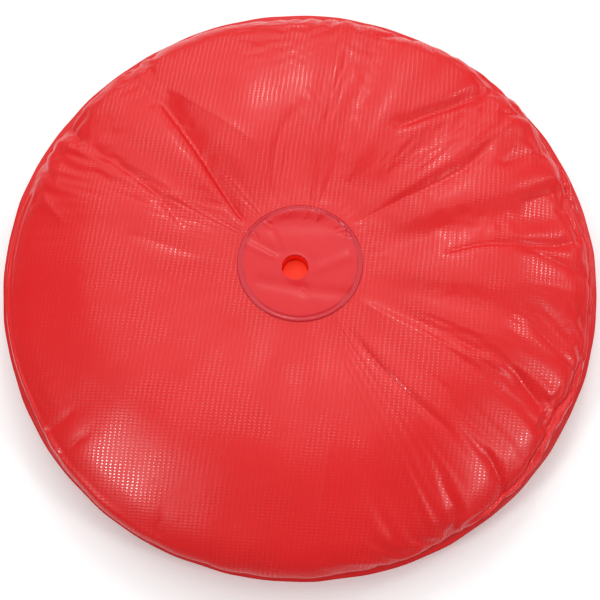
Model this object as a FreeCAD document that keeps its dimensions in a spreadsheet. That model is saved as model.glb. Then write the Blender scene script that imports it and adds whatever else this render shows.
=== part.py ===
import FreeCAD, Part
import math
import os
import Sketcher

"""Round balance pad: a slack envelope of coated fabric, welded at its rim and filled with one slab
of foam, with a plugged air valve let into the middle of its top.

The origin is the middle of the underside, on the floor. +Z is up and all sizes are millimetres.
The skins and the foam are turned about Z, the valve and its plug about an axis of their own a little
to one side. An outline is drawn in the XZ plane, radius and height.
"""

PARTS_FOLDER = "parts"

# Sizes that can be set by themselves: name, value, what it is.
DRIVING_SIZES = [
    ("overall_diameter", 400, "outer edge of the weld flange"),
    ("overall_height", 58, "floor to the crown ring"),
    ("flange_width", 9, "weld flange, from its outer edge in to the envelope"),
    ("flange_droop", 12, "degrees that the weld flange hangs below level"),
    ("weld_height", 25, "height of the face between the two skins, at the flange's inner end"),
    ("floor_setback", 18, "from the flange's inner end in to the rim of the flat underside"),
    ("side_overhang", 1.3, "how far the filled edge bulges out over the flange's inner end"),
    ("side_rise", 7, "how far the widest point of that bulge lies above the weld"),
    ("edge_radius", 16, "rounding of the filled edge above the weld"),
    ("crown_diameter", 220, "ring where the pad stands highest"),
    ("dish_diameter", 90, "flat floor of the dish in the middle of the top"),
    ("dish_depth", 6, "how far the middle lies below the crown"),
    ("skin_thickness", 0.7, "coated fabric of both skins"),
    ("foam_gap", 0.3, "slack between the foam and the envelope"),
    ("patch_diameter", 83, "smooth disc welded on the middle of the top skin"),
    ("patch_thickness", 0.8, "smooth disc"),
    ("patch_rim_round", 0.3, "rounding of the disc's upper edges"),
    ("hole_diameter", 17.2, "hole in the disc and bore of the valve's chamber"),
    ("valve_offset_x", -3.2, "axis of the valve and the hole, from the middle of the pad"),
    ("valve_offset_y", -3.4, "axis of the valve and the hole, from the middle of the pad"),
    ("skin_opening_margin", 0.5, "the skin's opening is this much wider than the hole, all round"),
    ("valve_flange_diameter", 60, "weld flange of the valve, under the top skin"),
    ("valve_flange_thickness", 1.5, "weld flange of the valve"),
    ("valve_flange_fillet", 2.5, "between the valve's flange and its barrel"),
    ("barrel_wall", 3, "wall of the valve's barrel"),
    ("barrel_length", 20, "valve, from the skin to its lower end"),
    ("plug_recess", 9, "top of the disc down to the face of the plug"),
    ("plug_head_thickness", 3, "head of the plug"),
    ("plug_head_clearance", 0.3, "head of the plug to the chamber's wall"),
    ("plug_head_round", 0.5, "rounding of the head's upper rim"),
    ("plug_seat_gap", 0.1, "under the head of the plug"),
    ("pry_chamfer", 1, "under the head's rim, for the tip of a plug puller"),
    ("stem_bore", 9, "bore under the chamber that the plug's stem stops"),
    ("stem_length", 9, "plug below its head"),
    ("stem_clearance", 0.05, "stem to bore, a running fit"),
    ("stem_lead", 0.8, "chamfer at the stem's lower end"),
    ("seal_section", 1.6, "cord of the rubber ring on the stem"),
    ("seal_fit", 0.03, "ring to bore and ring to groove"),
    ("seal_groove_play", 0.3, "groove is this much taller than the ring"),
    ("well_clearance", 2, "foam below the lower end of the valve's barrel"),
]

# Sizes that follow from the ones above.
DERIVED_SIZES = [
    ("overall_radius", "overall_diameter / 2"),
    ("crown_radius", "crown_diameter / 2"),
    ("dish_radius", "dish_diameter / 2"),
    ("hole_radius", "hole_diameter / 2"),
    ("patch_radius", "patch_diameter / 2"),
    ("skin_opening_radius", "hole_radius + skin_opening_margin"),
    ("middle_height", "overall_height - dish_depth"),
    # The face between the skins droops outwards from its inner end.
    ("droop_cos", "cos(flange_droop)"),
    ("droop_sin", "sin(flange_droop)"),
    ("weld_radius", "overall_radius - flange_width * droop_cos"),
    ("tip_height", "weld_height - flange_width * droop_sin"),
    ("tip_rise", "skin_thickness / droop_cos"),
    ("tip_top", "tip_height + tip_rise"),
    ("tip_bottom", "tip_height - tip_rise"),
    # Under the weld the edge is an arc that starts level at the rim of the flat underside.
    ("floor_radius", "weld_radius - floor_setback"),
    ("floor_arc", "(floor_setback ^ 2 + weld_height ^ 2) / (2 * weld_height)"),
    # Above the weld the edge is a circle of edge_radius.
    ("edge_centre_radius", "weld_radius + side_overhang - edge_radius"),
    ("widest_height", "weld_height + side_rise"),
    ("edge_reach", "edge_centre_radius - crown_radius"),
    ("edge_rise", "overall_height - widest_height"),
    # The crown's large arc starts level at the crown ring and runs tangent into the edge circle.
    ("crown_arc", "(edge_reach ^ 2 + edge_rise ^ 2 - edge_radius ^ 2) / (2 * (edge_rise - edge_radius))"),
    # Two equal arcs lead from the flat dish up to the crown ring.
    ("dish_run", "crown_radius - dish_radius"),
    ("dish_arc", "(dish_run ^ 2 + dish_depth ^ 2) / (4 * dish_depth)"),
    # Points of the top skin's outer face, each with its outward normal.
    ("dish_edge_radius", "dish_radius"),
    ("dish_edge_height", "middle_height"),
    ("dish_edge_outward", "0"),
    ("dish_edge_upward", "1"),
    ("dish_turn_radius", "(dish_radius + crown_radius) / 2"),
    ("dish_turn_height", "middle_height + dish_depth / 2"),
    ("dish_turn_outward", "-dish_run / 2 / dish_arc"),
    ("dish_turn_upward", "1 - dish_depth / 2 / dish_arc"),
    ("crown_edge_radius", "crown_radius"),
    ("crown_edge_height", "overall_height"),
    ("crown_edge_outward", "0"),
    ("crown_edge_upward", "1"),
    ("shoulder_outward", "edge_reach / (crown_arc - edge_radius)"),
    ("shoulder_upward", "(crown_arc - edge_rise) / (crown_arc - edge_radius)"),
    ("shoulder_radius", "edge_centre_radius + edge_radius * shoulder_outward"),
    ("shoulder_height", "widest_height + edge_radius * shoulder_upward"),
    ("foam_depth", "skin_thickness + foam_gap"),
    # Valve and plug, from the disc down.
    ("patch_top", "middle_height + patch_thickness"),
    ("valve_top", "middle_height - skin_thickness"),
    ("valve_flange_radius", "valve_flange_diameter / 2"),
    ("valve_flange_under", "valve_top - valve_flange_thickness"),
    ("barrel_radius", "hole_radius + barrel_wall"),
    ("barrel_end", "valve_top - barrel_length"),
    ("stem_bore_radius", "stem_bore / 2"),
    ("plug_top", "patch_top - plug_recess"),
    ("plug_shoulder", "plug_top - plug_head_thickness"),
    ("pry_height", "plug_shoulder + pry_chamfer"),
    ("valve_seat", "plug_shoulder - plug_seat_gap"),
    ("stem_end", "plug_shoulder - stem_length"),
    ("stem_lead_height", "stem_end + stem_lead"),
    ("plug_head_radius", "hole_radius - plug_head_clearance"),
    ("pry_radius", "plug_head_radius - pry_chamfer"),
    ("stem_radius", "stem_bore_radius - stem_clearance"),
    ("stem_lead_radius", "stem_radius - stem_lead"),
    ("seal_cord_radius", "seal_section / 2"),
    ("seal_ring_radius", "stem_bore_radius - seal_fit - seal_cord_radius"),
    ("seal_height", "plug_shoulder - stem_length / 2"),
    ("groove_radius", "stem_bore_radius - 2 * seal_fit - seal_section"),
    ("groove_top", "seal_height + seal_cord_radius + seal_groove_play / 2"),
    ("groove_bottom", "seal_height - seal_cord_radius - seal_groove_play / 2"),
    # The foam is cut away for the valve.
    ("foam_underside", "foam_depth"),
    ("foam_seat_radius", "valve_flange_radius + foam_gap"),
    ("foam_seat", "valve_flange_under - foam_gap"),
    ("well_radius", "barrel_radius + valve_flange_fillet + foam_gap"),
    ("well_floor", "barrel_end - well_clearance"),
]

# Faces of the top of the pad, by how far they lie under the top skin's outer face.
LAYERS = [("outer", "0"), ("inner", "skin_thickness"), ("foam", "foam_depth")]
TOP_POINTS = ["dish_edge", "dish_turn", "crown_edge", "shoulder"]

# Where an edge circle meets a face that droops with the flange: name, radius and height of the
# circle's centre, its arc, and how far that face lies above the one between the skins.
WELD_CORNERS = [
    ("top_groove", "edge_centre_radius", "widest_height", "edge_arc_outer", "skin_thickness"),
    ("top_weld", "edge_centre_radius", "widest_height", "edge_arc_inner", "0"),
    ("foam_brow", "edge_centre_radius", "widest_height", "edge_arc_foam", "foam_gap"),
    ("bottom_groove", "floor_radius", "floor_arc", "floor_arc_outer", "-skin_thickness"),
    ("bottom_weld", "floor_radius", "floor_arc", "floor_arc_inner", "0"),
    ("foam_notch", "floor_radius", "floor_arc", "floor_arc_foam", "foam_gap"),
]

document = FreeCAD.newDocument("balance_pad")
sheet = document.addObject("Spreadsheet::Sheet", "Sizes")


def fill_sheet():
    """Writes every size into the sheet, one a row: name, value under an alias, what it is."""
    rows = [(name, str(value), note) for name, value, note in DRIVING_SIZES]
    rows += [(name, "=" + formula, "") for name, formula in DERIVED_SIZES]
    for layer, depth in LAYERS:
        for point in TOP_POINTS:
            for way, normal in (("radius", "outward"), ("height", "upward")):
                formula = f"={point}_{way} - ({depth}) * {point}_{normal}"
                rows.append((f"{point}_{layer}_{way}", formula, ""))
        rows.append((f"dish_arc_{layer}_hollow", f"=dish_arc + ({depth})", ""))
        rows.append((f"dish_arc_{layer}_round", f"=dish_arc - ({depth})", ""))
        rows.append((f"crown_arc_{layer}", f"=crown_arc - ({depth})", ""))
        rows.append((f"edge_arc_{layer}", f"=edge_radius - ({depth})", ""))
        rows.append((f"floor_arc_{layer}", f"=floor_arc - ({depth})", ""))
    for name, centre, height, arc, above in WELD_CORNERS:
        off = (f"=(weld_radius - {centre}) * droop_sin + (weld_height - {height}) * droop_cos"
               f" + ({above})")
        rows.append((f"{name}_off", off, ""))
        rows.append((f"{name}_along", f"=sqrt({arc} ^ 2 - {name}_off ^ 2)", ""))
        radius = f"={centre} + {name}_off * droop_sin + {name}_along * droop_cos"
        rows.append((f"{name}_radius", radius, ""))
        rise = f"={height} + {name}_off * droop_cos - {name}_along * droop_sin"
        rows.append((f"{name}_height", rise, ""))
    for row, (name, text, note) in enumerate(rows, start=1):
        sheet.set(f"A{row}", name)
        sheet.set(f"B{row}", text)
        sheet.setAlias(f"B{row}", name)
        sheet.set(f"C{row}", note)
    document.recompute()


def size(name):
    return float(sheet.get(name))


def coordinate(name):
    """A cell's value, or 0 where an outline lies on an axis of its sketch."""
    return size(name) if name else 0.0


def origin_plane(body, role):
    return next(item for item in body.Origin.OriginFeatures if item.Role == role)


def new_body(name):
    body = document.addObject("PartDesign::Body", name)
    body.Label = name
    return body


def new_sketch(body, name, plane):
    sketch = body.newObject("Sketcher::SketchObject", name)
    sketch.AttachmentSupport = [(origin_plane(body, plane), "")]
    sketch.MapMode = "FlatFace"
    return sketch


def bind(sketch, kind, *where, cell):
    """Adds a constraint whose value is a cell of the sheet."""
    index = sketch.addConstraint(Sketcher.Constraint(kind, *where, size(cell)))
    sketch.setExpression(f"Constraints[{index}]", f"Sizes.{cell}")


def arc_between(start, end, radius, turns_left):
    """The shorter arc of a circle from start to end, and the number that its start point has."""
    chord = end - start
    half = chord.Length / 2
    left = FreeCAD.Vector(-chord.y, chord.x, 0).normalize()
    side = left if turns_left else -left
    centre = (start + end) / 2 + side * math.sqrt(radius ** 2 - half ** 2)
    first, last = (start, end) if turns_left else (end, start)
    from_angle = math.atan2(first.y - centre.y, first.x - centre.x)
    to_angle = math.atan2(last.y - centre.y, last.x - centre.x)
    if to_angle < from_angle:
        to_angle += 2 * math.pi
    circle = Part.Circle(centre, FreeCAD.Vector(0, 0, 1), radius)
    return Part.ArcOfCircle(circle, from_angle, to_angle), 1 if turns_left else 2


def draw_outline(sketch, corners, arcs):
    """A closed outline through corners, pairs of cells for radius and height, None for an axis.

    arcs gives, for the side that starts at a corner's number, its radius cell and "left" or "right".
    """
    places = [FreeCAD.Vector(coordinate(radius), coordinate(height), 0) for radius, height in corners]
    sides = []
    for number, start in enumerate(places):
        end = places[(number + 1) % len(places)]
        if number in arcs:
            cell, turn = arcs[number]
            curve, first = arc_between(start, end, size(cell), turn == "left")
        else:
            curve, first = Part.LineSegment(start, end), 1
        sides.append((sketch.addGeometry(curve, False), first))
    for number, (side, first) in enumerate(sides):
        next_side, next_first = sides[(number + 1) % len(sides)]
        sketch.addConstraint(Sketcher.Constraint("Coincident", side, 3 - first, next_side, next_first))
        radius, height = corners[number]
        if radius:
            bind(sketch, "DistanceX", -1, 1, side, first, cell=radius)
        else:
            sketch.addConstraint(Sketcher.Constraint("PointOnObject", side, first, -2))
        if height:
            bind(sketch, "DistanceY", -1, 1, side, first, cell=height)
        else:
            sketch.addConstraint(Sketcher.Constraint("PointOnObject", side, first, -1))
        if number in arcs:
            bind(sketch, "Radius", side, cell=arcs[number][0])


def revolve(body, sketch):
    turned = body.newObject("PartDesign::Revolution", f"{body.Name}_turned")
    turned.Profile = (sketch, [""])
    turned.ReferenceAxis = (sketch, ["V_Axis"])
    turned.Angle = 360
    document.recompute()
    return turned


def turned_body(name, corners, arcs):
    """A body turned about Z from one outline."""
    body = new_body(name)
    sketch = new_sketch(body, f"{name}_outline", "XZ_Plane")
    draw_outline(sketch, corners, arcs)
    return body, revolve(body, sketch)


def draw_circle(sketch, cell):
    """A circle about the sketch's own origin."""
    circle = Part.Circle(FreeCAD.Vector(), FreeCAD.Vector(0, 0, 1), size(cell))
    index = sketch.addGeometry(circle, False)
    sketch.addConstraint(Sketcher.Constraint("Coincident", index, 3, -1, 1))
    bind(sketch, "Radius", index, cell=cell)


def cut_above(body, name, radius, height):
    """Cuts away what lies above a height inside a circle about the valve's axis."""
    volume = body.Shape.Volume
    sketch = new_sketch(body, f"{body.Name}_{name}_outline", "XY_Plane")
    for way, cell in (("x", "valve_offset_x"), ("y", "valve_offset_y"), ("z", height)):
        sketch.setExpression(f"AttachmentOffset.Base.{way}", f"Sizes.{cell}")
    draw_circle(sketch, radius)
    pocket = body.newObject("PartDesign::Pocket", f"{body.Name}_{name}")
    pocket.Profile = (sketch, [""])
    pocket.Type = "ThroughAll"
    pocket.Reversed = True
    document.recompute()
    if body.Shape.Volume >= volume:
        raise RuntimeError(f"{pocket.Name} cuts nothing")
    return pocket


def stand_on_valve_axis(body):
    """Moves a piece that is turned about Z onto the valve's axis."""
    body.setExpression("Placement.Base.x", "Sizes.valve_offset_x")
    body.setExpression("Placement.Base.y", "Sizes.valve_offset_y")


def round_edges(body, base, name, rims, cell):
    """A fillet on the round edges of base at these rims, pairs of radius and height."""
    names = []
    for number, edge in enumerate(base.Shape.Edges, start=1):
        curve = edge.Curve
        if not isinstance(curve, Part.Circle):
            continue
        for radius, height in rims:
            if abs(curve.Radius - radius) < 1e-6 and abs(curve.Center.z - height) < 1e-6:
                names.append(f"Edge{number}")
    fillet = body.newObject("PartDesign::Fillet", name)
    fillet.Base = (base, names)
    fillet.setExpression("Radius", f"Sizes.{cell}")
    document.recompute()


def at_layer(point, layer):
    return f"{point}_{layer}_radius", f"{point}_{layer}_height"


def build_top_skin():
    """The domed upper skin: opening in the middle, dish, crown, filled edge and weld flange."""
    corners = [
        (None, "valve_top"),
        (None, "middle_height"),
        at_layer("dish_edge", "outer"),
        at_layer("dish_turn", "outer"),
        at_layer("crown_edge", "outer"),
        at_layer("shoulder", "outer"),
        ("top_groove_radius", "top_groove_height"),
        ("overall_radius", "tip_top"),
        ("overall_radius", "tip_height"),
        ("top_weld_radius", "top_weld_height"),
        at_layer("shoulder", "inner"),
        at_layer("crown_edge", "inner"),
        at_layer("dish_turn", "inner"),
        at_layer("dish_edge", "inner"),
    ]
    arcs = {
        2: ("dish_arc_outer_hollow", "left"),
        3: ("dish_arc_outer_round", "right"),
        4: ("crown_arc_outer", "right"),
        5: ("edge_arc_outer", "right"),
        9: ("edge_arc_inner", "left"),
        10: ("crown_arc_inner", "left"),
        11: ("dish_arc_inner_round", "left"),
        12: ("dish_arc_inner_hollow", "right"),
    }
    body = turned_body("top_skin", corners, arcs)[0]
    cut_above(body, "opening", "skin_opening_radius", "widest_height")
    return body


def build_bottom_skin():
    """The lower skin: flat on the floor, filled edge, and the other half of the weld flange."""
    corners = [
        (None, None),
        ("floor_radius", None),
        ("bottom_groove_radius", "bottom_groove_height"),
        ("overall_radius", "tip_bottom"),
        ("overall_radius", "tip_height"),
        ("bottom_weld_radius", "bottom_weld_height"),
        ("floor_radius", "skin_thickness"),
        (None, "skin_thickness"),
    ]
    arcs = {1: ("floor_arc_outer", "left"), 5: ("floor_arc_inner", "right")}
    return turned_body("bottom_skin", corners, arcs)[0]


def build_foam_core():
    """The foam slab that fills the envelope, with a seat and a well for the valve."""
    corners = [
        (None, "foam_underside"),
        ("floor_radius", "foam_underside"),
        ("foam_notch_radius", "foam_notch_height"),
        ("foam_brow_radius", "foam_brow_height"),
        at_layer("shoulder", "foam"),
        at_layer("crown_edge", "foam"),
        at_layer("dish_turn", "foam"),
        at_layer("dish_edge", "foam"),
        (None, "dish_edge_foam_height"),
    ]
    arcs = {
        1: ("floor_arc_foam", "left"),
        3: ("edge_arc_foam", "left"),
        4: ("crown_arc_foam", "left"),
        5: ("dish_arc_foam_round", "left"),
        6: ("dish_arc_foam_hollow", "right"),
    }
    body = turned_body("foam_core", corners, arcs)[0]
    cut_above(body, "seat", "foam_seat_radius", "foam_seat")
    cut_above(body, "well", "well_radius", "well_floor")
    return body


def build_centre_patch():
    """The smooth disc on the middle of the top skin, with the hole over the valve."""
    body = new_body("centre_patch")
    sketch = new_sketch(body, "centre_patch_outline", "XY_Plane")
    sketch.setExpression("AttachmentOffset.Base.z", "Sizes.middle_height")
    draw_circle(sketch, "patch_radius")
    pad = body.newObject("PartDesign::Pad", "centre_patch_sheet")
    pad.Profile = (sketch, [""])
    pad.setExpression("Length", "Sizes.patch_thickness")
    document.recompute()
    cut = cut_above(body, "hole", "hole_radius", "widest_height")
    top = size("patch_top")
    rims = [(size("patch_radius"), top), (size("hole_radius"), top)]
    round_edges(body, cut, "centre_patch_rims", rims, "patch_rim_round")
    return body


def build_valve_base():
    """The moulded valve under the top skin: flange, barrel, chamber, seat and stem bore."""
    corners = [
        ("hole_radius", "valve_top"),
        ("valve_flange_radius", "valve_top"),
        ("valve_flange_radius", "valve_flange_under"),
        ("barrel_radius", "valve_flange_under"),
        ("barrel_radius", "barrel_end"),
        ("stem_bore_radius", "barrel_end"),
        ("stem_bore_radius", "valve_seat"),
        ("hole_radius", "valve_seat"),
    ]
    body, turned = turned_body("valve_base", corners, {})
    rims = [(size("barrel_radius"), size("valve_flange_under"))]
    round_edges(body, turned, "valve_base_neck", rims, "valve_flange_fillet")
    stand_on_valve_axis(body)
    return body


def build_valve_plug():
    """The plug that closes the valve: flat head, and a stem with a groove for its ring."""
    corners = [
        (None, "plug_top"),
        ("plug_head_radius", "plug_top"),
        ("plug_head_radius", "pry_height"),
        ("pry_radius", "plug_shoulder"),
        ("stem_radius", "plug_shoulder"),
        ("stem_radius", "groove_top"),
        ("groove_radius", "groove_top"),
        ("groove_radius", "groove_bottom"),
        ("stem_radius", "groove_bottom"),
        ("stem_radius", "stem_lead_height"),
        ("stem_lead_radius", "stem_end"),
        (None, "stem_end"),
    ]
    body, turned = turned_body("valve_plug", corners, {})
    rims = [(size("plug_head_radius"), size("plug_top"))]
    round_edges(body, turned, "valve_plug_rim", rims, "plug_head_round")
    stand_on_valve_axis(body)
    return body


def build_plug_seal():
    """The rubber ring in the groove of the plug's stem."""
    body = new_body("plug_seal")
    sketch = new_sketch(body, "plug_seal_section", "XZ_Plane")
    centre = FreeCAD.Vector(size("seal_ring_radius"), size("seal_height"), 0)
    circle = Part.Circle(centre, FreeCAD.Vector(0, 0, 1), size("seal_cord_radius"))
    index = sketch.addGeometry(circle, False)
    bind(sketch, "DistanceX", -1, 1, index, 3, cell="seal_ring_radius")
    bind(sketch, "DistanceY", -1, 1, index, 3, cell="seal_height")
    bind(sketch, "Radius", index, cell="seal_cord_radius")
    revolve(body, sketch)
    stand_on_valve_axis(body)
    return body


def check_document():
    """Stops if any object failed to compute, which recompute by itself doesn't report."""
    for item in document.Objects:
        if "Invalid" in item.State or "Error" in item.State:
            raise RuntimeError(f"{item.Name} failed: {item.State}")


def write_part(body):
    shape = body.Shape
    if shape.isNull() or not shape.isValid() or len(shape.Solids) != 1:
        raise RuntimeError(f"{body.Label} is not one valid solid")
    box = shape.optimalBoundingBox()
    shape.exportStep(os.path.join(PARTS_FOLDER, f"{body.Label}.step"))
    print(f"{body.Label}: {shape.Volume:.0f} mm3, x {box.XMin:.2f} to {box.XMax:.2f}, "
          f"height {box.ZMin:.2f} to {box.ZMax:.2f}")


os.makedirs(PARTS_FOLDER, exist_ok=True)
fill_sheet()
bodies = [
    build_bottom_skin(),
    build_foam_core(),
    build_top_skin(),
    build_valve_base(),
    build_centre_patch(),
    build_valve_plug(),
    build_plug_seal(),
]
document.recompute()
check_document()
for part_body in bodies:
    write_part(part_body)
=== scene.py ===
import math

import bpy
import numpy as np
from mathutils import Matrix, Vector
from mathutils.kdtree import KDTree


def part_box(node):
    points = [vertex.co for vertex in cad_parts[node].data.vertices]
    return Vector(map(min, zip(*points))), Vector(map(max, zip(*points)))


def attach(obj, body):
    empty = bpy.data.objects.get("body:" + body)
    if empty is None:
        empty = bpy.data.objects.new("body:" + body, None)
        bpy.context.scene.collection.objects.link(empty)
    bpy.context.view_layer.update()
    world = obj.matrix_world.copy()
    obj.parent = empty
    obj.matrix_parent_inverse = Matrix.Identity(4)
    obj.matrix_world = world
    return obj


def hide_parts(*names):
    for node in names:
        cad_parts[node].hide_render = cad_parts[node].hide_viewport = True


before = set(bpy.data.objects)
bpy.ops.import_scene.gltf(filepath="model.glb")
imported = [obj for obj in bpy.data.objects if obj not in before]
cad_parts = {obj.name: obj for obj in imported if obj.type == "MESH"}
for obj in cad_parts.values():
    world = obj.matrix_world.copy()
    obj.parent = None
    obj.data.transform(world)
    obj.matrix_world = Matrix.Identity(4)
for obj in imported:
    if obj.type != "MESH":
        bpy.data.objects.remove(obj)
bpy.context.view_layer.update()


# Bottom skin. A round blank of red coated fabric, 0.7 mm thick, that lies flat on the floor. Its rim
# turns up round the foam and out again, and is welded to the top skin in a thin flange.

MM = 0.001
SKIN_THICKNESS = 0.7 * MM
RIM_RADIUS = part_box("bottom_skin")[1].x
FLANGE_RISE = 0.17 * MM
WELD_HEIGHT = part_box("bottom_skin")[1].z - FLANGE_RISE
FLANGE_WIDTH = 9 * MM
FLANGE_DROOP = math.radians(12)
FLOOR_SETBACK = 18 * MM
WELD_RADIUS = RIM_RADIUS - FLANGE_WIDTH * math.cos(FLANGE_DROOP)
TIP_HEIGHT = WELD_HEIGHT - FLANGE_WIDTH * math.sin(FLANGE_DROOP)
POLE_RADIUS = 2 * MM
SKIN_SEGMENTS = 320
VALVE_AXIS = (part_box("valve_base")[0].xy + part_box("valve_base")[1].xy) / 2

# The woven grid under the coating: its pitch both ways, how far it is turned on the blank, how far it
# strays (in radians of its pitch), how far it stands out (in mm), and where the weld presses it flat.
WEAVE_ACROSS = 3.1 * MM
WEAVE_ALONG = 2.0 * MM
WEAVE_TURN = math.radians(5)
WEAVE_DRIFT = 3.5
WEAVE_RELIEF = 0.018
WELD_START = 205 * MM

# The waves of the flange: how many go round and how far each one runs in and out, in millimetres. It
# runs up and down by a share of that.
RIM_WAVES = [(5, 0.4), (14, 0.2), (27, 0.16), (43, 0.12)]
WAVE_RISE = 0.7


def only(piece):
    """Selects one piece alone and makes it the active one."""
    bpy.ops.object.select_all(action="DESELECT")
    piece.select_set(True)
    bpy.context.view_layer.objects.active = piece


def arc(centre, radius, start, end, steps):
    """Points of an arc in a profile, from one angle to another in degrees, 0 pointing outwards."""
    turns = np.radians(np.linspace(start, end, steps + 1))
    return [(centre[0] + radius * math.cos(t), centre[1] + radius * math.sin(t)) for t in turns]


def in_fixed_order(piece):
    """Lists the edges and the four-sided faces of a piece by their points.

    Extruding leaves them in a chance order, and the cloth would settle a little differently each time.
    """
    corners = np.empty(len(piece.data.loops), dtype=np.int32)
    piece.data.loops.foreach_get("vertex_index", corners)
    faces = corners.reshape(-1, 4)
    turned = (np.argmin(faces, axis=1)[:, None] + np.arange(4)) % 4
    faces = np.take_along_axis(faces, turned, axis=1)
    faces = faces[np.lexsort(faces.T[::-1])]
    sides = np.sort(np.stack([faces, np.roll(faces, -1, axis=1)], axis=2).reshape(-1, 2), axis=1)
    edges, edge_of_side = np.unique(sides, axis=0, return_inverse=True)
    piece.data.loops.foreach_set("vertex_index", faces.ravel())
    piece.data.loops.foreach_set("edge_index", edge_of_side.ravel().astype(np.int32))
    piece.data.edges.foreach_set("vertices", edges.ravel())
    piece.data.update()


def ring_by_ring(name, profile, segments=SKIN_SEGMENTS):
    """A round piece made by extruding a ring along a profile of radius and height.

    A third number moves a ring's middle from the pad's towards the valve's, from 0 to 1.
    """
    rings = [Vector((*(VALVE_AXIS * (ring[2] if len(ring) > 2 else 0)), ring[1])) for ring in profile]
    bpy.ops.object.select_all(action="DESELECT")
    bpy.ops.mesh.primitive_circle_add(vertices=segments, radius=profile[0][0], location=rings[0],
                                      calc_uvs=False)
    piece = bpy.context.object
    piece.name = name
    bpy.ops.object.transform_apply(location=True)
    bpy.ops.object.mode_set(mode="EDIT")
    for number in range(len(profile) - 1):
        bpy.ops.mesh.extrude_edges_move()
        grow = profile[number + 1][0] / profile[number][0]
        bpy.ops.transform.resize(value=(grow, grow, 1), center_override=rings[number])
        bpy.ops.transform.translate(value=rings[number + 1] - rings[number])
    bpy.ops.mesh.select_all(action="SELECT")
    bpy.ops.mesh.normals_make_consistent(inside=False)
    bpy.ops.object.mode_set(mode="OBJECT")
    in_fixed_order(piece)
    return piece


def close_poles(piece, *poles):
    """Fills the small rings round these points; the first one's faces look down."""
    only(piece)
    for pole in poles:
        bpy.ops.object.mode_set(mode="EDIT")
        bpy.ops.mesh.select_mode(type="VERT")
        bpy.ops.mesh.select_all(action="DESELECT")
        bpy.ops.object.mode_set(mode="OBJECT")
        for vertex in piece.data.vertices:
            vertex.select = (vertex.co - Vector(pole)).length < POLE_RADIUS * 1.01
        bpy.ops.object.mode_set(mode="EDIT")
        bpy.ops.mesh.edge_face_add()
        bpy.ops.mesh.poke()
        bpy.ops.mesh.select_all(action="SELECT")
        bpy.ops.mesh.normals_make_consistent(inside=False)
        bpy.ops.object.mode_set(mode="OBJECT")
    lowest = min(piece.data.polygons, key=lambda face: (face.center - Vector(poles[0])).length)
    if lowest.normal.z > 0:
        piece.data.flip_normals()


def numbers_of(items, name, width):
    """An array with a row for each vertex, loop or attribute value of a mesh."""
    numbers = np.empty(len(items) * width, dtype=np.float32)
    items.foreach_get(name, numbers)
    return numbers.astype(float).reshape(-1, width)


def move_points(piece, points):
    piece.data.vertices.foreach_set("co", points.ravel())
    piece.data.update()


def distance_out(points, profile):
    """How far each point lies from the middle, measured along the skin."""
    outline = np.array([ring[:2] for ring in profile])
    walked = np.concatenate([[0], np.cumsum(np.hypot(*np.diff(outline, axis=0).T))]) + outline[0, 0]
    radii = np.hypot(points[:, 0], points[:, 1])
    off = np.stack([(radii - radius) ** 2 + (points[:, 2] - height) ** 2 for radius, height in outline])
    return walked[np.argmin(off, axis=0)]


def keep_blank(skin, walked):
    """The skin's UV map and a distance for each point: its blank before it was formed, in metres."""
    points = numbers_of(skin.data.vertices, "co", 3)
    turn = np.arctan2(points[:, 1], points[:, 0])
    flat = np.stack([walked * np.cos(turn), walked * np.sin(turn)], axis=1)
    corners = np.empty(len(skin.data.loops), dtype=np.int32)
    skin.data.loops.foreach_get("vertex_index", corners)
    skin.data.uv_layers.new(name="blank").data.foreach_set("uv", flat[corners].ravel())
    distance = skin.data.attributes.new("walked", "FLOAT", "POINT")
    distance.data.foreach_set("value", walked.astype(np.float32))


def apply_modifier(piece, kind, **settings):
    """Adds a modifier with these settings and applies it."""
    only(piece)
    modifier = piece.modifiers.new(kind.title(), kind)
    for setting, value in settings.items():
        setattr(modifier, setting, value)
    bpy.ops.object.modifier_apply(modifier=modifier.name)


def smooth(low, high, values):
    """0 below low, 1 above high, and a smooth step between."""
    t = np.clip((values - low) / (high - low), 0, 1)
    return t * t * (3 - 2 * t)


def wave_rim(piece):
    """Makes the flange run in and out and up and down a little on its way round the pad."""
    points = numbers_of(piece.data.vertices, "co", 3)
    radii = np.hypot(points[:, 0], points[:, 1])
    angles = np.arctan2(points[:, 1], points[:, 0])
    share = smooth(WELD_RADIUS - 1 * MM, RIM_RADIUS, radii) * (points[:, 2] > WELD_HEIGHT / 2)
    chance = np.random.default_rng(21)
    for count, far in RIM_WAVES:
        out = far * MM * np.cos(count * angles + chance.uniform(0, 2 * math.pi)) * share
        points[:, :2] *= 1 + (out / radii)[:, None]
        points[:, 2] += WAVE_RISE * far * MM * np.cos(count * angles + chance.uniform(0, 2 * math.pi)) * share
    move_points(piece, points)


def part_of_pad(piece, node, body="pad"):
    """Shades a piece smooth and lets it stand for a CAD node."""
    only(piece)
    bpy.ops.object.shade_smooth()
    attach(piece, body)
    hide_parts(node)


class Amount:
    """A number that changes over a surface: a socket that takes arithmetic, each step a Math node."""

    def __init__(self, finish, socket):
        self.finish, self.socket = finish, socket

    def step(self, operation, *values):
        return self.finish.node("ShaderNodeMath", {"operation": operation}, dict(enumerate(values)))

    def cosine(self):
        return self.step("COSINE", self)

    def __add__(self, other):
        return self.step("ADD", self, other)

    def __sub__(self, other):
        return self.step("SUBTRACT", self, other)

    def __rsub__(self, other):
        return self.step("SUBTRACT", other, self)

    def __mul__(self, other):
        return self.step("MULTIPLY", self, other)

    __radd__, __rmul__ = __add__, __mul__


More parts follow.
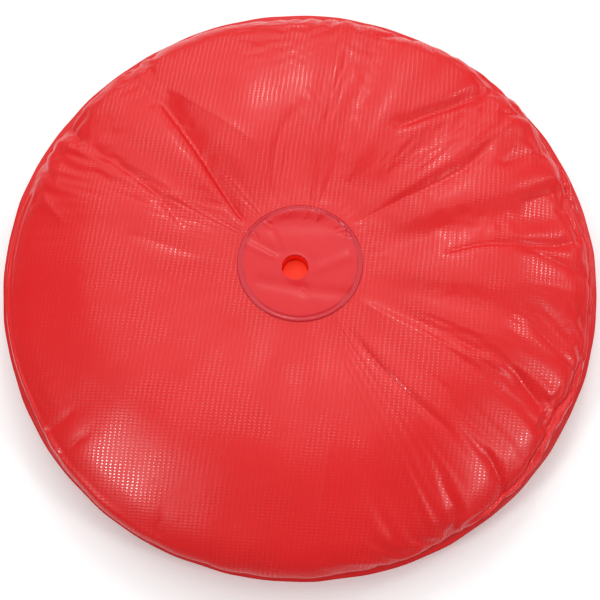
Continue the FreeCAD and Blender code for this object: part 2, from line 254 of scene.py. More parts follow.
class Finish:
    """One material, with a single way to add a node: its type, its settings, its sockets."""

    def __init__(self, name, colour, roughness, **sockets):
        self.material = bpy.data.materials.new(name)
        self.material.use_nodes = True
        self.tree = self.material.node_tree
        self.shader = self.tree.nodes["Principled BSDF"]
        self.set("Base Color", colour)
        self.set("Roughness", roughness)
        for socket, value in sockets.items():
            self.set(socket.replace("_", " "), value)

    def put(self, socket, value):
        if isinstance(value, Amount):
            self.tree.links.new(value.socket, socket)
        else:
            socket.default_value = value

    def set(self, name, value):
        self.put(self.shader.inputs[name], value)

    def node(self, kind, settings, sockets, output=0):
        made = self.tree.nodes.new(kind)
        for setting, value in settings.items():
            setattr(made, setting, value)
        for name, value in sockets.items():
            self.put(made.inputs[name], value)
        return Amount(self, made.outputs[output])

    def place(self, source="Object", turn=0, scale=(1, 1, 1)):
        """Where a point lies: its Object or UV coordinates, turned and scaled."""
        spot = self.node("ShaderNodeTexCoord", {}, {}, source)
        return self.node("ShaderNodeMapping", {"vector_type": "POINT"},
                         {"Vector": spot, "Rotation": (0, 0, turn), "Scale": scale})

    def noise(self, where, scale, detail=2, roughness=0.5):
        return self.node("ShaderNodeTexNoise", {"noise_dimensions": "3D"},
                         {"Vector": where, "Scale": scale, "Detail": detail, "Roughness": roughness})

    def blend(self, amount, first, second):
        """A colour between two colours."""
        return self.node("ShaderNodeMix", {"data_type": "RGBA"},
                         {"Factor": amount, 6: first, 7: second}, 2)

    def bump(self, height, strength, distance, under=None):
        sockets = {"Height": height, "Strength": strength, "Distance": distance}
        if under is not None:
            sockets["Normal"] = under
        return self.node("ShaderNodeBump", {}, sockets)

    def ramp(self, amount, low, high):
        """0 below low and 1 above high."""
        return self.node("ShaderNodeMapRange", {"interpolation_type": "SMOOTHSTEP"},
                         {"Value": amount, "From Min": low, "From Max": high})


def coated_fabric():
    """Glossy red coating over an open woven grid that stands out a little under it."""
    finish = Finish("coated_fabric", (0.63, 0.011, 0.013, 1), 0.36, Specular_IOR_Level=0.3,
                    Coat_Roughness=0.18, Coat_IOR=1.75)
    spot = finish.place("UV", WEAVE_TURN, (2 * math.pi / WEAVE_ACROSS, 2 * math.pi / WEAVE_ALONG, 1))
    surface = finish.place()
    drift = finish.node("ShaderNodeTexNoise", {},
                        {"Vector": surface, "Scale": 120, "Detail": 2}, "Color")
    spot = finish.node("ShaderNodeVectorMath", {"operation": "MULTIPLY_ADD"},
                       {0: drift, 1: (WEAVE_DRIFT, WEAVE_DRIFT, 0), 2: spot})
    across = finish.node("ShaderNodeSeparateXYZ", {}, {"Vector": spot}, "X").cosine()
    along = finish.node("ShaderNodeSeparateXYZ", {}, {"Vector": spot}, "Y").cosine()
    patches = finish.noise(surface, 18, 3)
    grain = finish.noise(surface, 900, 3, 0.6)
    soft = finish.noise(surface, 60, 4, 0.55)
    finish.set("Base Color", finish.blend(patches, (0.60, 0.008, 0.009, 1), (0.66, 0.010, 0.012, 1)))
    coarse = finish.bump(soft, 0.25, 0.0012)
    out = finish.node("ShaderNodeAttribute", {"attribute_name": "walked"}, {}, "Fac")
    on_skin = 1 - finish.ramp(out, WELD_START, WELD_START + 3 * MM)
    showing = (finish.ramp(finish.noise(surface, 45, 2), 0.35, 0.62) * 0.75 + 0.25) * on_skin
    knots = finish.ramp(across + along, 1.0, 1.9) * showing
    finish.set("Roughness", 0.3 + soft * 0.1)
    finish.set("Coat Weight", knots)
    woven = finish.bump((across + along) * showing * WEAVE_RELIEF, 1, MM, coarse)
    finish.set("Normal", finish.bump(grain, 0.12, 0.00012, woven))
    return finish.material


FLOOR_ARC = (FLOOR_SETBACK ** 2 + WELD_HEIGHT ** 2) / (2 * WELD_HEIGHT)
FLOOR_RADIUS = WELD_RADIUS - FLOOR_SETBACK
bottom_profile = (
    [(radius, 0.0) for radius in np.linspace(POLE_RADIUS, FLOOR_RADIUS, 24)[:-1]]
    + arc((FLOOR_RADIUS, FLOOR_ARC), FLOOR_ARC, -90, 14, 12)
    + [(WELD_RADIUS + t * (RIM_RADIUS - WELD_RADIUS),
        WELD_HEIGHT - SKIN_THICKNESS + t * (TIP_HEIGHT - WELD_HEIGHT)) for t in (0.15, 0.4, 0.7, 1)]
)
bottom_cover = ring_by_ring("bottom_cover", bottom_profile)
close_poles(bottom_cover, (0, 0, 0))
keep_blank(bottom_cover, distance_out(numbers_of(bottom_cover.data.vertices, "co", 3), bottom_profile))
wave_rim(bottom_cover)
apply_modifier(bottom_cover, "SOLIDIFY", thickness=SKIN_THICKNESS, offset=-1)
red_fabric = coated_fabric()
bottom_cover.data.materials.append(red_fabric)
part_of_pad(bottom_cover, "bottom_skin")


# Foam. One slab of soft open-cell foam, cut round, with a seat and a well for the valve. It takes on
# the folds of the slack skin that is drawn over it.

FOAM_UNDER_SKIN = 2 * MM
CROWN_RADIUS = 110 * MM
CROWN_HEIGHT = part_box("top_skin")[1].z
DISH_RADIUS = 45 * MM
DISH_DEPTH = 6 * MM
EDGE_ROUND = 23 * MM
WIDEST_HEIGHT = WELD_HEIGHT + 2 * MM
EDGE_BULGE = 3.4 * MM
EDGE_RADIUS = WELD_RADIUS + EDGE_BULGE - EDGE_ROUND

# Folds: where each one runs (mm out along the skin, degrees round), how wide it is at its inner and
# its outer end, how deep (a ridge if negative), and how much it leans to one side.
FOLDS = [
    ([(44, 143), (80, 134.5), (113, 131), (154, 129)], 3.0, 7.0, 3.0, 0.9),
    ([(45, 112), (78, 102.5), (100, 95), (112, 89)], 2.2, 2.4, 1.5, 0.0),
    ([(45, 106), (72, 98), (92, 93.5)], 1.6, 2.0, 0.8, 0.0),
    ([(85, 109), (106, 116.3), (134, 122.5), (154, 125)], 3.0, 4.0, -0.8, 0.6),
    ([(78, 165), (112, 153), (140, 151), (166, 149)], 3.0, 5.0, 1.6, 0.6),
    ([(66, 177), (90, 173), (118, 171)], 4.5, 5.0, 0.6, 0.3),
    ([(95, 83), (124, 79), (164, 76.5)], 5.0, 8.0, 0.9, -0.5),
    ([(112, 56), (140, 49.6), (176, 44.8), (204, 44.3)], 5.5, 6.0, 2.2, -0.6),
    ([(45, 37), (89, 31.7), (112, 30.7), (133, 30.9), (160, 34.5)], 4.5, 8.0, 1.5, -0.5),
    ([(92, 2.5), (130, 5.3), (164, 4.4), (200, 8.5)], 3.2, 4.5, 2.6, -0.4),
    ([(143, 4.5), (188, -1.5), (206, -4)], 3.0, 3.5, 2.0, 0.6),
    ([(47, -34), (88, -32), (126, -30.5), (158, -28)], 7.0, 10.0, -1.2, 0.2),
    ([(58, -54.5), (96, -53.5), (122, -51.6), (150, -49.3)], 2.4, 3.5, 1.6, 0.5),
    ([(115, -80.5), (158, -85), (178, -86)], 2.2, 2.6, -0.9, 0.4),
]

# Short folds where the edge is gathered into the weld: the same four sizes.
RIM_FOLDS = [
    ([(168, 150.5), (190, 147.5), (207, 146.5)], 4.5, 6.0, 4.0, 0.6),
    ([(170, 162), (186, 157), (196, 155)], 2.8, 3.0, -1.5, 0.0),
    ([(156, 170.5), (170, 167), (182, 164.5)], 3.0, 3.5, -1.3, 0.0),
    ([(176, 72), (196, 68), (207, 67)], 4.0, 4.5, 2.4, 0.5),
    ([(172, 40), (190, 36), (207, 34)], 3.0, 3.5, 2.2, 0.5),
    ([(150, 27), (176, 27), (200, 26)], 4.5, 5.0, 1.6, 0.4),
    ([(150, 16), (176, 17), (204, 17.5)], 5.0, 5.5, 1.4, 0.3),
    ([(150, -14), (176, -19), (204, -23)], 3.2, 3.5, 2.0, 0.5),
    ([(156, -9), (180, -15), (204, -19)], 2.6, 3.0, 1.2, 0.4),
    ([(150, -27), (178, -31), (206, -33.5)], 4.5, 3.5, 2.0, 0.5),
    ([(170, -25.5), (188, -30), (204, -32)], 3.0, 3.0, -1.2, 0.0),
    ([(166, -46), (184, -47.5), (207, -49.5)], 4.0, 4.5, 3.6, 0.6),
    ([(178, -43), (190, -47), (205, -49)], 3.0, 3.0, -1.6, 0.2),
    ([(180, -57), (196, -60), (207, -61.5)], 3.5, 4.0, 2.6, 0.5),
    ([(182, -71), (196, -74), (207, -75.5)], 3.0, 3.5, 1.6, 0.4),
    ([(186, -99), (208, -99.5)], 2.4, 3.0, 1.6, 0.2),
    ([(184, -106), (208, -107)], 2.6, 3.0, 1.4, 0.2),
    ([(178, -118), (196, -117), (207, -116)], 2.8, 3.2, 1.7, 0.4),
    ([(172, -146), (190, -146), (207, -146.5)], 3.2, 3.6, 2.2, -0.4),
    ([(172, -140), (192, -141), (207, -141.5)], 2.8, 3.4, 1.8, -0.4),
]

# How much the filled edge stands in or out of true: degrees round, how wide, and how far.
EDGE_SHIFTS = [
    (95, 16, -3.0), (42, 16, 1.6), (-115, 60, 5.0), (-152, 7, -2.0), (150, 10, -1.2), (-48, 26, 2.2),
    (0, 25, 1.4), (62, 5, -1.6), (76, 4, -1.2), (27, 5, -1.6), (13, 4, -1.2), (125, 6, -1.6),
    (137, 4, -1.2), (165, 6, -1.4), (-9, 5, -1.4), (-34, 4, -1.4), (-63, 5, -1.4), (-80, 6, -0.9),
]

# How much lower the filled edge lies where the foam is thinner: degrees round, how wide, and how far.
EDGE_DROPS = [(-135, 50, 6.0), (-50, 35, 4.0), (0, 35, 3.5), (178, 28, 3.0)]

# How gathered the edge is round the pad: degrees round, how wide, and how deep its puckers are.
PUCKERS = [(54, 34, 1.0), (140, 22, 0.75), (8, 34, 0.9), (-42, 26, 0.9)]
PUCKER_COUNT = 84

# The small gathers that start where the skin comes out from under the patch, the pleats and the slow
# swells that go all round, and how much deeper the listed folds are drawn than listed.
PATCH_RIM = 44
GATHER_COUNT = 60
PLEAT_COUNTS = (9, 13, 18, 25)
PLEAT_DEPTH = 0.6
SWELL_COUNTS = range(3, 12)
FOLD_DEPTH = 1.2

# The crease that is left along each fold: its width and its depth as shares of the fold's.
CREASE_WIDTH, CREASE_DEPTH = 0.4, 0.3

# Millimetres out along the skin: between which the shifts and the drops of the edge grow to their full
# size, and where the weld is.
EDGE_START, EDGE_FULL = 150, 195
DROP_START, DROP_FULL = 125, 183
WELD_LINE = 206


def turn_from(angles, middle):
    """Degrees from an angle, the short way round."""
    return (angles - middle + 180) % 360 - 180


def round_about(places, angles):
    """The sum of soft humps, each at an angle, with a width and a height."""
    return sum(far * np.exp(-(turn_from(angles, at) / wide) ** 2) for at, wide, far in places)


def fold_shift(walked, angles, points, inner, outer, depth, lean, fade=(10, 14)):
    """How far one fold moves each point along its normal, in millimetres."""
    run = np.array([point[0] for point in points], float)
    bearing = np.array([point[1] for point in points], float)
    line = np.polynomial.Polynomial.fit(run, bearing, min(len(points) - 1, 3))
    held = np.clip(walked, run[0], run[-1])
    slant = np.radians(line.deriv()(held)) * held
    aside = np.radians(turn_from(angles, line(held))) * held / np.hypot(1, slant)
    width = inner + (outer - inner) * (held - run[0]) / (run[-1] - run[0])
    across = aside / width
    ends = smooth(run[0] - 1, run[0] + fade[0], walked)
    ends *= 1 - smooth(run[-1] - fade[1], run[-1] + 3, walked)
    shape = -(1 - 0.75 * across ** 2 - lean * across) * np.exp(-across ** 2)
    return depth * shape * ends


def gathered(angles):
    """How gathered the edge is at an angle: a fifth where it is smooth, about 1 where it is not."""
    return 0.2 + round_about(PUCKERS, angles)


def creases(walked, angles):
    """The sharp creases that are left along the folds, in millimetres."""
    shift = np.zeros(len(walked))
    for points, inner, outer, depth, lean in FOLDS + RIM_FOLDS:
        shift += fold_shift(walked, angles, points, CREASE_WIDTH * inner, CREASE_WIDTH * outer,
                            CREASE_DEPTH * depth, lean)
    return shift


def slack(walked, angles):
    """How far the top skin stands off its plain shape at each point, in millimetres."""
    shift = np.zeros(len(walked))
    for run in FOLDS:
        shift += FOLD_DEPTH * fold_shift(walked, angles, *run)
    for run in RIM_FOLDS:
        shift += fold_shift(walked, angles, *run, fade=(14, 5))
    chance = np.random.default_rng(7)
    for number in range(PUCKER_COUNT):
        middle = 360 * (number + chance.uniform(-0.4, 0.4)) / PUCKER_COUNT
        share = gathered(middle)
        start, depth = chance.uniform(172, 192), chance.uniform(0.2, 1.1) * share
        skew = chance.uniform(-3, 3)
        width = chance.uniform(2.0, 3.6)
        shift += fold_shift(walked, angles, [(start, middle + skew), (208, middle)],
                            width, width * 1.3, depth, chance.uniform(-0.5, 0.5), fade=(12, 4))
    for number in range(GATHER_COUNT):
        middle = 360 * (number + chance.uniform(-0.4, 0.4)) / GATHER_COUNT
        share = 0.25 + 0.9 * math.exp(-(turn_from(middle, 60) / 85) ** 2)
        length = chance.uniform(14, 52)
        width = chance.uniform(1.2, 2.2)
        run = [(PATCH_RIM, middle), (PATCH_RIM + length, middle + chance.uniform(-5, 5))]
        depth, lean = chance.uniform(0.1, 0.55) * share, chance.uniform(-0.6, 0.6)
        shift += fold_shift(walked, angles, run, width, width * 1.8, depth, lean, fade=(4, length * 0.7))
    for count in PLEAT_COUNTS:
        swell = gathered(angles) * smooth(46, 100, walked) * (1 - smooth(185, 205, walked))
        shift += PLEAT_DEPTH * swell * np.cos(np.radians(angles) * count + chance.uniform(0, 2 * math.pi))
    for lobes in SWELL_COUNTS:
        phase = chance.uniform(0, 2 * math.pi)
        reach = chance.uniform(70, 150)
        swell = np.exp(-((walked - reach) / 45) ** 2) * smooth(43, 70, walked)
        shift += chance.uniform(0.25, 0.6) * swell * np.cos(np.radians(angles) * lobes + phase)
    return shift


reach, rise = EDGE_RADIUS - CROWN_RADIUS, CROWN_HEIGHT - WIDEST_HEIGHT
crown_arc = (reach ** 2 + rise ** 2 - EDGE_ROUND ** 2) / (2 * (rise - EDGE_ROUND))
dish_run = CROWN_RADIUS - DISH_RADIUS
dish_arc = (dish_run ** 2 + DISH_DEPTH ** 2) / (4 * DISH_DEPTH)
dish_turn = math.degrees(math.asin(dish_run / 2 / dish_arc))
shoulder = math.degrees(math.atan2(crown_arc - rise, reach))
DISH_FLOOR = CROWN_HEIGHT - DISH_DEPTH
groove = math.degrees(math.asin((WELD_HEIGHT + SKIN_THICKNESS - WIDEST_HEIGHT) / EDGE_ROUND))


def dome(under=0):
    """The profile of the upper side from the dish to the weld, that far under the skin's face."""
    hollow, full = dish_arc + under, dish_arc - under
    return (
        arc((DISH_RADIUS, DISH_FLOOR + dish_arc), hollow, -90, -90 + dish_turn, 7)[:-1]
        + arc((CROWN_RADIUS, CROWN_HEIGHT - dish_arc), full, 90 + dish_turn, 90, 7)[:-1]
        + arc((CROWN_RADIUS, CROWN_HEIGHT - crown_arc), crown_arc - under, 90, shoulder, 18)[:-1]
        + arc((EDGE_RADIUS, WIDEST_HEIGHT), EDGE_ROUND - under, shoulder, groove, 11)
    )


def crease(piece, walked):
    """Moves the points of the settled skin into its creases."""
    points = numbers_of(piece.data.vertices, "co", 3)
    angles = np.degrees(np.arctan2(points[:, 1], points[:, 0]))
    normals = numbers_of(piece.data.vertex_normals, "vector", 3)
    move_points(piece, points + normals * creases(walked, angles)[:, None] * MM)


def fold(piece, walked):
    """Moves the points of a round piece into the skin's folds."""
    points = numbers_of(piece.data.vertices, "co", 3)
    angles = np.degrees(np.arctan2(points[:, 1], points[:, 0]))
    outward = np.stack([np.cos(np.radians(angles)), np.sin(np.radians(angles)), 0 * angles], axis=1)
    normals = numbers_of(piece.data.vertex_normals, "vector", 3)
    edge = smooth(EDGE_START, EDGE_FULL, walked) * (1 - smooth(WELD_LINE - 1, WELD_LINE + 6, walked))
    upper = smooth(WELD_HEIGHT - 2 * MM, WELD_HEIGHT, points[:, 2])
    points += normals * (slack(walked, angles) * upper)[:, None] * MM
    lower = MM * round_about(EDGE_DROPS, angles) * smooth(DROP_START, DROP_FULL, walked)
    points[:, 2] -= lower * (1 - smooth(WELD_LINE - 20, WELD_LINE, walked))
    points += outward * (edge * round_about(EDGE_SHIFTS, angles) * upper)[:, None] * MM
    move_points(piece, points)


def foam():
    """Pale grey open-cell foam."""
    finish = Finish("foam", (0.62, 0.62, 0.58, 1), 0.95)
    surface = finish.place()
    cells = finish.node("ShaderNodeTexVoronoi", {"feature": "F1"}, {"Vector": surface, "Scale": 700})
    finish.set("Base Color", finish.blend(cells, (0.48, 0.48, 0.45, 1), (0.68, 0.68, 0.64, 1)))
    finish.set("Normal", finish.bump(cells, 0.6, 0.0005))
    return finish.material


WELL_RADIUS = 14.4 * MM
WELL_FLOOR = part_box("valve_base")[0].z - 2 * MM
SEAT_RADIUS = 30.3 * MM
SEAT_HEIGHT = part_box("valve_base")[1].z - 1.8 * MM
foam_rim = FOAM_UNDER_SKIN + 1 * MM
foam_profile = (
    [(radius, 1 * MM) for radius in np.linspace(POLE_RADIUS, FLOOR_RADIUS, 24)[:-1]]
    + arc((FLOOR_RADIUS, FLOOR_ARC), FLOOR_ARC - foam_rim, -90, 0, 8)
    + dome(FOAM_UNDER_SKIN)[::-1]
    + [(40 * MM, DISH_FLOOR - FOAM_UNDER_SKIN, 0.5),
       (SEAT_RADIUS, DISH_FLOOR - FOAM_UNDER_SKIN, 1), (SEAT_RADIUS, SEAT_HEIGHT, 1),
       (WELL_RADIUS, SEAT_HEIGHT, 1), (WELL_RADIUS, WELL_FLOOR, 1), (POLE_RADIUS, WELL_FLOOR, 1)]
)
foam_slab = ring_by_ring("foam_slab", foam_profile)
close_poles(foam_slab, (0, 0, 1 * MM), (*VALVE_AXIS, WELL_FLOOR))
foam_slab.data.materials.append(foam())
part_of_pad(foam_slab, "foam_core")


# Valve. A moulding of soft red plastic whose flange is welded under the top skin: its chamber opens
# in the middle of the pad, and below its seat a bore takes the plug.

def moulded(name, colour, other, roughness):
    """Moulded plastic: slight cloudiness in its colour and a fine moulded grain."""
    finish = Finish(name, colour, roughness, Specular_IOR_Level=0.2)
    surface = finish.place()
    cloud = finish.noise(surface, 120, 3)
    finish.set("Base Color", finish.blend(cloud, colour, other))
    finish.set("Roughness", roughness + cloud * 0.1)
    finish.set("Normal", finish.bump(finish.noise(surface, 1500, 2), 0.15, 0.0001))
    return finish.material


def refinish(node, material):
    """Gives a CAD node a better material."""
    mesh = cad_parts[node].data
    mesh.materials.clear()
    mesh.materials.append(material)


refinish("valve_base", moulded("valve_plastic", (0.93, 0.022, 0.011, 1), (0.97, 0.028, 0.013, 1), 0.45))


# Top skin. A second blank, drawn over the foam. It is cut larger than the foam needs, so it lies in
# folds that run from the patch in its middle to the weld at its rim.

OPENING_RADIUS = 9.1 * MM
top_profile = (
    [(OPENING_RADIUS, DISH_FLOOR, 1), (13 * MM, DISH_FLOOR, 0.8), (18 * MM, DISH_FLOOR, 0.5),
     (24 * MM, DISH_FLOOR, 0.2)]
    + [(radius * MM, DISH_FLOOR) for radius in (30, 36, 39, 40.4, 41.4, 42.3, 43.2, 44.1)]
    + dome()
    + [(WELD_RADIUS + t * (RIM_RADIUS - WELD_RADIUS),
        WELD_HEIGHT + SKIN_THICKNESS + t * (TIP_HEIGHT - WELD_HEIGHT)) for t in (0.42, 0.6, 0.8, 1)]
)

# The slack skin is settled on the foam as cloth. It is cut wider than the foam, round and along, by
# these shares, and ruffled; it may move so far. The foam holds it harder where it is tight. Between
# these distances out along the skin, in millimetres, it comes free of the patch and of the weld.
SPARE_ROUND = 1.3
SPARE_ALL = 0.004
RUFFLE = 0.5 * MM
MAY_MOVE = 5 * MM
FOAM_HOLD = 0.34
TIGHT_HOLD = 0.5
BENDING = 1.0
PRESSURE = 4
LET_GO = (40, 48)
HELD_AGAIN = (198, 207)
FORMING_FRAMES = 8
SETTLE_FRAMES = 24

# The foam follows the settled skin: each of its points looks at so many points of the skin near it.
NEAREST = 9


def cut_shape(points, walked):
    """Where each point of the skin would lie if it were laid out with all its spare cloth."""
    radii = np.hypot(points[:, 0], points[:, 1])
    steps, first = np.unique(np.round(walked, 7), return_index=True)
    ring = radii[first]
    angles = np.degrees(np.arctan2(points[:, 1], points[:, 0]))
    shares = np.minimum(gathered(angles), 1)
    cut = np.empty_like(points)
    for share in np.unique(np.round(shares, 2)):
        here = np.abs(shares - share) <= 0.0051
        spare = 1 + share * SPARE_ALL * smooth(70 * MM, 120 * MM, steps)
        wide = ring * spare + share * SPARE_ROUND * np.maximum(steps - ring, 0)
        long = np.diff(steps) * (spare[1:] + spare[:-1]) / 2
        fall = np.sqrt(np.maximum(long ** 2 - np.diff(wide) ** 2, 0))
        height = -np.concatenate([[0], np.cumsum(fall)])
        grow = np.interp(walked[here], steps, wide) / np.maximum(radii[here], 1e-6)
        cut[here, :2] = points[here, :2] * grow[:, None]
        cut[here, 2] = np.interp(walked[here], steps, height)
    chance = np.random.default_rng(3)
    ruffle = 0 * angles
    for count in range(14, 46, 3):
        depth = chance.uniform(0.4, 1.2)
        ruffle += depth * np.cos(np.radians(angles) * count + chance.uniform(0, 2 * math.pi))
    cut[:, 2] += RUFFLE * ruffle * shares * smooth(50 * MM, 110 * MM, walked)
    return cut


def settle(skin, plain):
    """Draws the cut skin over the springy foam as cloth and keeps the folds that it finds."""
    walked = numbers_of(skin.data.attributes["walked"].data, "value", 1)[:, 0]
    formed = numbers_of(skin.data.vertices, "co", 3)
    cut = cut_shape(plain, walked)
    skin.shape_key_add(name="cut").data.foreach_set("co", cut.ravel())
    drawn = skin.shape_key_add(name="drawn")
    drawn.data.foreach_set("co", formed.ravel())
    for number, value in ((1, 0), (FORMING_FRAMES, 1)):
        drawn.value = value
        drawn.keyframe_insert("value", frame=number)
    held = skin.vertex_groups.new(name="held")
    free = smooth(*LET_GO, walked / MM) * (1 - smooth(*HELD_AGAIN, walked / MM))
    loose = np.minimum(gathered(np.degrees(np.arctan2(plain[:, 1], plain[:, 0]))), 1)
    for number, share in enumerate(1 - free * (1 - TIGHT_HOLD + loose * (TIGHT_HOLD - FOAM_HOLD))):
        held.add([number], float(share), "REPLACE")
    only(skin)
    modifier = skin.modifiers.new("Cloth", "CLOTH")
    cloth = modifier.settings
    cloth.vertex_group_mass = "held"
    cloth.quality = 6
    cloth.mass = 0.02
    cloth.tension_stiffness = cloth.compression_stiffness = 20
    cloth.shear_stiffness = 8
    cloth.bending_stiffness = BENDING
    cloth.air_damping = 3
    cloth.effector_weights.gravity = 0
    cloth.use_pressure = True
    cloth.uniform_pressure_force = PRESSURE
    modifier.point_cache.frame_start, modifier.point_cache.frame_end = 1, SETTLE_FRAMES
    for number in range(1, SETTLE_FRAMES + 1):
        bpy.context.scene.frame_set(number)
    made = skin.evaluated_get(bpy.context.evaluated_depsgraph_get()).data
    moved = numbers_of(made.vertices, "co", 3) - formed
    action = skin.data.shape_keys.animation_data.action
    skin.modifiers.remove(modifier)
    skin.shape_key_clear()
    bpy.data.actions.remove(action)
    skin.vertex_groups.remove(held)
    bpy.context.scene.frame_set(1)
    far = np.linalg.norm(moved, axis=1)
    move_points(skin, formed + moved * np.minimum(1, MAY_MOVE / np.maximum(far, 1e-9))[:, None])


def follow(piece, before, after):
    """Moves each upper point of a piece as the near point of the skin that sank most has moved."""
    near = KDTree(len(before))
    for number, point in enumerate(before):
        near.insert(point, number)
    near.balance()
    for vertex in piece.data.vertices:
        if vertex.co.z > WELD_HEIGHT and vertex.co.xy.length > DISH_RADIUS:
            nearest = [number for _, number, _ in near.find_n(vertex.co, NEAREST)]
            moves = [Vector(after[number] - before[number]) for number in nearest]
            vertex.co += min(moves, key=vertex.normal.dot)


top_cover = ring_by_ring("top_cover", top_profile)
keep_blank(top_cover, distance_out(numbers_of(top_cover.data.vertices, "co", 3), top_profile))
plain_points = numbers_of(top_cover.data.vertices, "co", 3)
fold(top_cover, numbers_of(top_cover.data.attributes["walked"].data, "value", 1)[:, 0] / MM)
settle(top_cover, plain_points)
follow(foam_slab, plain_points, numbers_of(top_cover.data.vertices, "co", 3))
apply_modifier(top_cover, "SUBSURF", levels=1, render_levels=1)
crease(top_cover, numbers_of(top_cover.data.attributes["walked"].data, "value", 1)[:, 0] / MM)
wave_rim(top_cover)
apply_modifier(top_cover, "SOLIDIFY", thickness=SKIN_THICKNESS, offset=-1)
top_cover.data.materials.append(red_fabric)
part_of_pad(top_cover, "top_skin")


# Patch. A smooth disc of the same red film, welded over the middle of the top skin, with the hole
# through which the valve is reached. It is as slack as the skin under it.

PATCH_RADIUS = 41 * MM
PATCH_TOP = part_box("centre_patch")[1].z
PATCH_SQUASH = 0.975
PATCH_THICKNESS = 0.7 * MM
HOLE_RADIUS = 8.6 * MM

# The film's relief in millimetres: how far it stands up, all over and along its far side, how deep its
# groove is and how far in from the rim, and its lip at the hole and its step at the rim.
FILM_LIFT = 0.35
FAR_LIFT = 1.5
WELD_GROOVE = 0.35
WELD_BAND = 2.6
HOLE_LIP = 0.35
RIM_STEP = 0.3

# Creases in the patch: from and to (mm across, mm along), width and depth in mm, a ridge if negative.
PATCH_CREASES = [
    ((-36, 20), (-16, 7), 3.0, 0.7),
    ((-34, 12), (-18, 4), 2.5, -0.6),
    ((-18, 22), (-12, 8), 2.5, 0.5),
    ((-26, -13), (2, -19), 4.5, 0.8),
    ((2, -19), (34, -23), 4.5, 0.8),
    ((8, -6), (32, 4), 4.0, -0.6),
    ((-30, 27), (30, 27), 6.0, 0.7),
    ((26, 30), (36, 8), 4.0, 0.6),
]
CREASE_SHARE = 0.85
FINE_CREASES = 24


def crease_shift(x, y, start, end, width, depth):
    """How far a straight soft crease moves each point, in millimetres."""
    line = np.subtract(end, start)
    length = np.hypot(*line)
    along = ((x - start[0]) * line[0] + (y - start[1]) * line[1]) / length
    aside = ((y - start[1]) * line[0] - (x - start[0]) * line[1]) / length
    beyond = np.maximum(np.maximum(-along, along - length), 0)
    return -depth * np.exp(-(aside / width) ** 2 - (beyond / width) ** 2)


patch_profile = (
    [(HOLE_RADIUS, PATCH_TOP, 1), (9.2 * MM, PATCH_TOP, 1), (10.2 * MM, PATCH_TOP, 0.97)]
    + [(radius * MM, PATCH_TOP, 1 - smooth(10, 34, radius)) for radius in np.linspace(12, 39, 22)]
    + [(PATCH_RADIUS - 0.9 * MM, PATCH_TOP), (PATCH_RADIUS, PATCH_TOP)]
)
patch_disc = ring_by_ring("patch_disc", patch_profile, segments=192)
apply_modifier(patch_disc, "SUBSURF", levels=1, render_levels=1)
points = numbers_of(patch_disc.data.vertices, "co", 3)
x, y = points[:, 0] / MM, points[:, 1] / MM
from_edge = PATCH_RADIUS / MM - np.hypot(x, y)
from_hole = np.hypot(x - VALVE_AXIS.x / MM, y - VALVE_AXIS.y / MM) - HOLE_RADIUS / MM
far_side = np.maximum(np.sin(np.arctan2(y, x)), 0) ** 2
lift = FILM_LIFT * smooth(0, 10, from_edge) * smooth(-4, 8, from_hole)
lift += FAR_LIFT * far_side * (1 - smooth(2, 11, from_edge)) * smooth(0, 1.5, from_edge)
listed = sum(crease_shift(x, y, *crease) for crease in PATCH_CREASES)
lift += CREASE_SHARE * listed * smooth(0, 4, from_edge) * smooth(0, 5, from_hole)
lift += HOLE_LIP * np.exp(-(from_hole / 1.6) ** 2) - RIM_STEP * np.exp(-(from_edge / 0.7) ** 2)
lift -= WELD_GROOVE * np.exp(-((from_edge - WELD_BAND) / 0.9) ** 2)
chance = np.random.default_rng(11)
for number in range(FINE_CREASES):
    turn, skew = math.radians(chance.uniform(28, 148)), math.radians(chance.uniform(-5, 5))
    inner = np.array([math.cos(turn), math.sin(turn)]) * chance.uniform(32, 36)
    outer = np.array([math.cos(turn + skew), math.sin(turn + skew)]) * chance.uniform(36, 38.5)
    lift += crease_shift(x, y, inner, outer, chance.uniform(0.7, 1.4), chance.uniform(-0.5, 0.6))
points[:, 2] += lift * MM
points[:, 1] *= PATCH_SQUASH
move_points(patch_disc, points)
apply_modifier(patch_disc, "SOLIDIFY", thickness=PATCH_THICKNESS, offset=-1)


def patch_film():
    """The same glossy coating with no weave, a little darker in the weld band round its rim: partly the
    ring's own darker, cooler tone and partly painted shade.
    """
    finish = Finish("patch_film", (0.62, 0.012, 0.017, 1), 0.3, Specular_IOR_Level=0.3)
    surface = finish.place()
    soft = finish.noise(surface, 90, 4, 0.55)
    out = finish.node("ShaderNodeVectorMath", {"operation": "LENGTH"},
                      {0: finish.node("ShaderNodeVectorMath", {"operation": "MULTIPLY"},
                                      {0: surface, 1: (1, 1 / PATCH_SQUASH, 0)})}, "Value")
    weld_ring_tone_and_shade = finish.ramp(out, PATCH_RADIUS - 5.5 * MM, PATCH_RADIUS - WELD_BAND * MM)
    film = finish.blend(soft, (0.58, 0.010, 0.014, 1), (0.66, 0.014, 0.020, 1))
    # The weld band is painted darker all round: partly the ring's own darker, cooler tone, partly painted
    # shade.
    finish.set("Base Color", finish.blend(weld_ring_tone_and_shade * 0.7, film, (0.46, 0.018, 0.030, 1)))
    finish.set("Roughness", 0.24 + soft * 0.14 - weld_ring_tone_and_shade * 0.12)
    finish.set("Normal", finish.bump(finish.noise(surface, 700, 3), 0.2, 0.00015,
                                     finish.bump(soft, 0.3, 0.0008)))
    return finish.material


patch_disc.data.materials.append(patch_film())
part_of_pad(patch_disc, "centre_patch")


# Plug. A turned plug of orange-red plastic, pushed into the valve by hand to close it. A black rubber
# ring in the groove of its stem seals the bore.

refinish("valve_plug", moulded("plug_plastic", (0.98, 0.048, 0.016, 1), (1.0, 0.058, 0.020, 1), 0.4))
refinish("plug_seal", moulded("seal_rubber", (0.02, 0.02, 0.02, 1), (0.03, 0.03, 0.03, 1), 0.7))


# The pad stands free on a pale floor, under soft white light from all round. The floor lies a hair
# lower than the pad's flat face, so that the two don't share one plane.

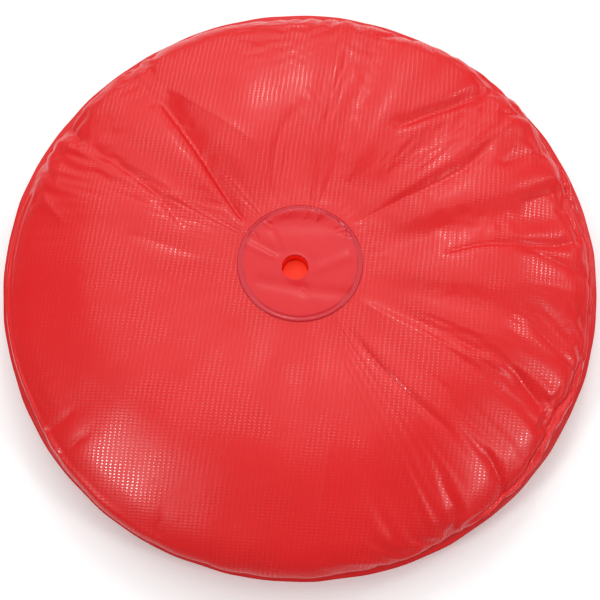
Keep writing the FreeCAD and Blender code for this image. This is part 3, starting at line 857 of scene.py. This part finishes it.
FLOOR_GAP = 0.1 * MM
LIGHT_DISTANCE = 1.6
WORLD_STRENGTH = 0.32
CAMERA_HEIGHT = math.radians(73)
CAMERA_DISTANCE = 0.70
CAMERA_LENS = 64.1
AIM = Vector((0, -0.0217, 0.040))


def soft_light(name, azimuth, elevation, size, power):
    """A square soft box that faces the pad. Azimuth 0 is the viewer's side, 90 the right."""
    a, e = math.radians(azimuth), math.radians(elevation)
    towards = Vector((math.sin(a) * math.cos(e), -math.cos(a) * math.cos(e), math.sin(e)))
    light = bpy.data.lights.new(name, "AREA")
    light.shape, light.size, light.energy = "SQUARE", size, power
    lamp = bpy.data.objects.new(name, light)
    lamp.location = towards * LIGHT_DISTANCE
    lamp.rotation_euler = towards.to_track_quat("Z", "Y").to_euler()
    bpy.context.scene.collection.objects.link(lamp)
    return lamp


bpy.ops.object.select_all(action="DESELECT")
bpy.ops.mesh.primitive_plane_add(size=6, location=(0, 0, -FLOOR_GAP))
floor = bpy.context.object
floor.name = "floor"
floor.data.materials.append(Finish("pale_floor", (0.96, 0.96, 0.96, 1), 0.8).material)

soft_light("back", 188, 57, 2.2, 23)
soft_light("glint", 172, 52, 0.2, 2)
soft_light("left", -58, 49, 0.25, 5)
soft_light("right", 66, 42, 0.25, 4.5)
soft_light("side", 116, 38, 0.25, 2.2)
soft_light("front", -15, 70, 0.8, 1.6).visible_glossy = False

world = bpy.data.worlds.new("studio")
world.use_nodes = True
world.node_tree.nodes["Background"].inputs["Color"].default_value = (1, 1, 1, 1)
world.node_tree.nodes["Background"].inputs["Strength"].default_value = WORLD_STRENGTH
bpy.context.scene.world = world
bpy.context.scene.view_settings.view_transform = "Standard"

lens = bpy.data.cameras.new("camera")
lens.lens = CAMERA_LENS
camera = bpy.data.objects.new("camera", lens)
back = Vector((0, -math.cos(CAMERA_HEIGHT), math.sin(CAMERA_HEIGHT)))
camera.location = AIM + back * CAMERA_DISTANCE
camera.rotation_euler = back.to_track_quat("Z", "Y").to_euler()
bpy.context.scene.collection.objects.link(camera)
bpy.context.scene.camera = camera
